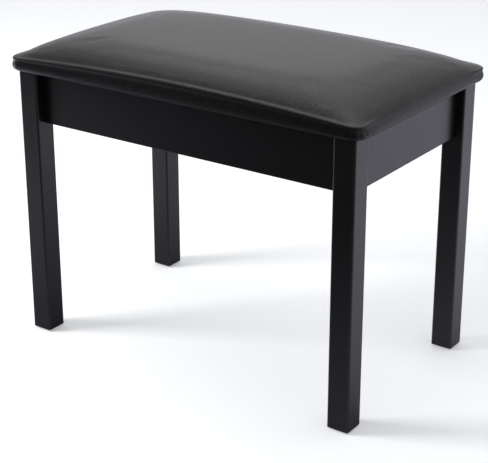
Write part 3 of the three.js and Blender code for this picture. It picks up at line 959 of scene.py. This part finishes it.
vinyl = grained_vinyl("grained_vinyl")
cushion = add_piece("vinyl_cushion", vinyl_form(), vinyl, "seat_vinyl", "seat_cover")
swell(cushion, SWELL_CAP, SWELL_FRAMES)
finer = cushion.modifiers.new("finer", "SUBSURF")
finer.levels = finer.render_levels = 1
bake_modifier(cushion)
gather(cushion)
thick = cushion.modifiers.new("vinyl_thickness", "SOLIDIFY")
thick.thickness = VINYL_THICKNESS
thick.offset = -1


# ---------- Dust cover ----------
# A thin black non-woven cloth, stapled under the board to hide the hem of the vinyl.

CLOTH_THICKNESS = 0.0004
CLOTH_BLACK = (0.014, 0.014, 0.015, 1)
CLOTH_GREY = (0.045, 0.045, 0.046, 1)
BONDS = 420  # pressed dots to a metre
FIBRES = (900, 300, 900)  # patches to a metre along each axis
CLOTH_BELOW = 0.0002  # under the hem
CLOTH_SAG = 0.003  # at the middle
RIPPLES = 22  # to a metre
RIPPLE_HEIGHT = 0.0004

cloth_low, cloth_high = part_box("dust_cover")
cloth_size = cloth_high - cloth_low


def pressed_cloth(name):
    finish, start = new_finish(name)
    sockets = {"Vector": on_piece(start), "Scale": BONDS, "Randomness": 0.1}
    dots = start.node("TexVoronoi", {"feature": "F1"}, sockets)
    fibres = mottle(start, 1, detail=5, vector=stretched(start, FIBRES))
    colour = blend_colours(start, fibres * 0.8, CLOTH_BLACK, CLOTH_GREY)
    surface(start, colour, 0.85 + fibres * 0.1, start.sum("MINIMUM", dots * 2, 1) + fibres, 0.0002)
    return finish


def dust_cover_form():
    """The cloth, hanging a little slack inside its stapled edge."""
    bm = bmesh.new()
    bmesh.ops.create_grid(bm, x_segments=70, y_segments=36, size=0.5)
    bmesh.ops.scale(bm, vec=(cloth_size.x, cloth_size.y, 1), verts=bm.verts)
    for vert in bm.verts:
        slack = (1 - (2 * vert.co.x / cloth_size.x) ** 2) * (1 - (2 * vert.co.y / cloth_size.y) ** 2)
        ripple = noise.noise(vert.co * RIPPLES) * RIPPLE_HEIGHT
        vert.co.z = cloth_high.z - CLOTH_BELOW - CLOTH_SAG * slack + ripple * slack
    return bm


pressed = pressed_cloth("pressed_cloth")
cloth = add_piece("dust_cover_cloth", dust_cover_form(), pressed, "dust_cloth", "dust_cover")
cloth_wall = cloth.modifiers.new("cloth_thickness", "SOLIDIFY")
cloth_wall.thickness = CLOTH_THICKNESS


# ---------- Staples ----------
# Fine galvanised wire, driven through the dust cover and the hem of the vinyl into the board,
# all round the dust cover's edge.

STAPLE_CROWN = 0.010
STAPLE_LEG = 0.006
STAPLE_WIRE = 0.0006
STAPLE_FROM_EDGE = 0.004
STAPLE_SPACING = 0.042
STAPLE_SKEW = 0.3  # radians, at the most


def bend_staple(bm, place, way):
    """One staple, from a square wire: its crown along the edge, its legs up into the board."""
    half = STAPLE_CROWN / 2
    made = []
    for middle_x, middle_z, size_x, size_z in (
        (0, 0, STAPLE_CROWN, STAPLE_WIRE),
        (-half + STAPLE_WIRE / 2, STAPLE_LEG / 2, STAPLE_WIRE, STAPLE_LEG),
        (half - STAPLE_WIRE / 2, STAPLE_LEG / 2, STAPLE_WIRE, STAPLE_LEG),
    ):
        verts = bmesh.ops.create_cube(bm, size=1)["verts"]
        bmesh.ops.scale(bm, vec=(size_x, STAPLE_WIRE, size_z), verts=verts)
        bmesh.ops.translate(bm, vec=(middle_x, 0, middle_z), verts=verts)
        made += verts
    bmesh.ops.rotate(bm, cent=(0, 0, 0), matrix=Matrix.Rotation(way, 3, "Z"), verts=made)
    bmesh.ops.translate(bm, vec=place, verts=made)


def staples():
    """A row of staples along each edge of the dust cover, each a little askew."""
    bm = bmesh.new()
    height = cloth_low.z - STAPLE_WIRE / 2
    reach_x = cloth_high.x - STAPLE_FROM_EDGE
    reach_y = cloth_high.y - STAPLE_FROM_EDGE
    for reach, other, way in ((reach_x, reach_y, 0), (reach_y, reach_x, math.pi / 2)):
        count = round(2 * reach / STAPLE_SPACING)
        for number in range(count):
            along = (number + 0.5) / count * 2 * reach - reach
            for side in (-1, 1):
                skew = noise.noise((along * 40, side, reach * 9)) * STAPLE_SKEW
                aside = side * other
                place = (along, aside, height) if way == 0 else (aside, along, height)
                bend_staple(bm, place, way + skew)
    return bm


add_piece("dust_cover_staples", staples(), zinc, "zinc_steel")


# ---------- Floor, light and camera ----------
# A pale seamless floor, a big soft light above, a smaller one at the front left, and a white
# studio whose brighter and darker parts show as the shine in the lacquer and the vinyl.

FLOOR_PALE = (0.80, 0.81, 0.83, 1)
FLOOR_PALER = (0.83, 0.84, 0.855, 1)
FLOOR_REACH = 14.0
# A third of the brightness round an arc from the horizon behind (0), over the ceiling (0.5), to the
# horizon in front (1): at the left, straight behind, and at the right.
LEFT_ARC = (
    (0, 0.30), (0.12, 0.24), (0.18, 0.11), (0.51, 0.07), (0.55, 0.90), (0.63, 0.90), (0.68, 0.01),
)
BACK_ARC = (
    (0, 0.33), (0.13, 0.32), (0.20, 0.57), (0.25, 0.77), (0.30, 0.92), (0.355, 0.04), (0.51, 0.04),
    (0.555, 0.80), (0.625, 0.80), (0.67, 0.01),
)
RIGHT_ARC = (
    (0, 0.32), (0.12, 0.20), (0.17, 0.05), (0.26, 0.04), (0.31, 0.85), (0.40, 0.85), (0.46, 0.08),
    (0.56, 0.55), (0.62, 0.55), (0.67, 0.01),
)
SIDE_WINDOW = 0.18  # a third of the brightness at the horizon on the right
LENS_SHIFT = -0.085
CAMERA_PLACE = (1.144, -1.626, 0.999)
CAMERA_YAW = math.radians(-35.15)
CAMERA_PITCH = math.radians(20.62)
CAMERA_ROLL = math.radians(-0.06)
CAMERA_LENS = 100.45
FLOOR_GLOW = 0.34  # evens out the shade under the bench, as a lit table does
DARK_SIDE = 0.03  # how bright the floor in front on the left looks in the lacquer
STUDIO_LIGHT = 0.58  # the studio's brightness, as it lights the bench
STUDIO_SEEN = 0.42  # what is added to that where the camera sees it
STUDIO_SHINE = 2.42  # and where it is mirrored


def pale_floor():
    """Pale everywhere. Where it is mirrored, its colour is painted darker to the front and brighter to the
    back right and to the left, and a little bluer: a painted reflection of a studio flagged off at the
    front left.
    """
    finish, start = new_finish("pale_floor")
    cloud = mottle(start, 1.5, detail=2)
    colour = blend_colours(start, cloud, FLOOR_PALE, FLOOR_PALER)
    place = on_piece(start)
    rightward = place.axis("X")
    backward = place.axis("Y")
    right_glow = 0.66 + (rightward * 1.5).clamp() * 0.7
    near = (1 + backward * 0.9).clamp()
    left_glow = (rightward * -1 - 0.35).clamp() * near * 1.7
    back_glow = (0.66 + backward * 0.85).clamp()
    # Painted reflection: in mirrored rays only, the floor's colour is scaled by these glows and made a
    # little bluer, in place of a studio lit that way.
    lit = DARK_SIDE + back_glow * right_glow + left_glow
    mirrored = start.node("LightPath", output="Is Glossy Ray")
    shade = 1 - mirrored * (1 - lit)
    cool = shade * (1 + mirrored * 0.12)
    tint = start.node("CombineXYZ", None, {0: shade, 1: shade, 2: cool})
    seen = start.node("VectorMath", {"operation": "MULTIPLY"}, {0: colour, 1: tint})
    direct = start.node("LightPath", output="Is Camera Ray")
    sockets = {0: colour, "Scale": direct * FLOOR_GLOW}
    glow = start.node("VectorMath", {"operation": "SCALE"}, sockets)
    fixed = {"Specular IOR Level": 0.1, "Emission Color": glow, "Emission Strength": 1}
    surface(start, seen, 0.75 + cloud * 0.1, mottle(start, 300, detail=2), 0.00005, fixed)
    return finish


def floor():
    bm = bmesh.new()
    bmesh.ops.create_grid(bm, x_segments=2, y_segments=2, size=FLOOR_REACH)
    mesh = bpy.data.meshes.new("floor")
    bm.to_mesh(mesh)
    bm.free()
    mesh.materials.append(pale_floor())
    piece = bpy.data.objects.new("floor", mesh)
    bpy.context.scene.collection.objects.link(piece)


def soft_light(name, place, aim, size, power):
    lamp = bpy.data.lights.new(name, "AREA")
    lamp.shape = "RECTANGLE"
    lamp.size, lamp.size_y = size
    lamp.energy = power
    light = bpy.data.objects.new(name, lamp)
    light.location = place
    light.visible_glossy = False
    light.rotation_euler = (Vector(aim) - Vector(place)).to_track_quat("-Z", "Y").to_euler()
    bpy.context.scene.collection.objects.link(light)


def arc_level(start, turn, stops):
    """The brightness of one of the studio's arcs."""
    grey = [(place, (level, level, level, 1)) for place, level in stops]
    return start.node("RGBToBW", None, {"Color": ramp(start, turn, *grey)})


def surroundings():
    """A plain white studio. What shines in the bench is soft light behind it, a flagged ceiling,
    a narrow strip light above the front, and a dim room in front."""
    world = bpy.data.worlds.new("studio")
    bpy.context.scene.world = world
    world.use_nodes = True
    world.node_tree.nodes.clear()
    start = Wire(world.node_tree)
    way = start.node("TexCoord", output="Generated")
    across = way.axis("X")
    back = way.axis("Y")
    level_or_above = start.node("Math", {"operation": "ABSOLUTE"}, {0: way.axis("Z")})
    turn = start.sum("ARCTAN2", level_or_above, back) * (1 / math.pi)
    to_left = ((-0.6 - across) * 8).clamp()
    to_right = ((across + 0.45) * 3.3).clamp()
    arc = arc_level(start, turn, BACK_ARC) * (1 - to_left - to_right)
    arc = arc + arc_level(start, turn, LEFT_ARC) * to_left
    arc = arc + arc_level(start, turn, RIGHT_ARC) * to_right
    level = start.sum("MAXIMUM", arc, (across * SIDE_WINDOW).clamp())
    shine = start.node("CombineXYZ", None, {0: level, 1: level, 2: level * 1.03})
    mirrored = start.node("LightPath", output="Is Glossy Ray")
    direct = start.node("LightPath", output="Is Camera Ray")
    colour = blend_colours(start, mirrored, (1, 1, 1, 1), shine)
    strength = STUDIO_LIGHT + direct * STUDIO_SEEN + mirrored * STUDIO_SHINE
    glow = start.node("Background", None, {"Color": colour, "Strength": strength})
    start.node("OutputWorld", None, {"Surface": glow})


def camera():
    lens = bpy.data.cameras.new("camera")
    lens.lens = CAMERA_LENS
    lens.sensor_width = 36
    lens.shift_y = LENS_SHIFT
    eye = bpy.data.objects.new("camera", lens)
    ahead = Vector((
        math.sin(CAMERA_YAW) * math.cos(CAMERA_PITCH),
        math.cos(CAMERA_YAW) * math.cos(CAMERA_PITCH),
        -math.sin(CAMERA_PITCH),
    ))
    level = Vector((math.cos(CAMERA_YAW), -math.sin(CAMERA_YAW), 0))
    upright = level.cross(ahead)
    right = math.cos(CAMERA_ROLL) * level + math.sin(CAMERA_ROLL) * upright
    top = math.cos(CAMERA_ROLL) * upright - math.sin(CAMERA_ROLL) * level
    turn = Matrix((right, top, -ahead)).transposed().to_4x4()
    eye.matrix_world = Matrix.Translation(CAMERA_PLACE) @ turn
    bpy.context.scene.collection.objects.link(eye)
    bpy.context.scene.camera = eye


floor()
surroundings()
soft_light("overhead", place=(-0.4, 0.5, 2.4), aim=(0, 0, 0.2), size=(2.4, 2.4), power=14)
soft_light("left_window", place=(-1.75, -1.35, 1.5), aim=(0, 0, 0.1), size=(0.8, 0.8), power=46)
camera()
bpy.context.scene.view_settings.view_transform = "Standard"
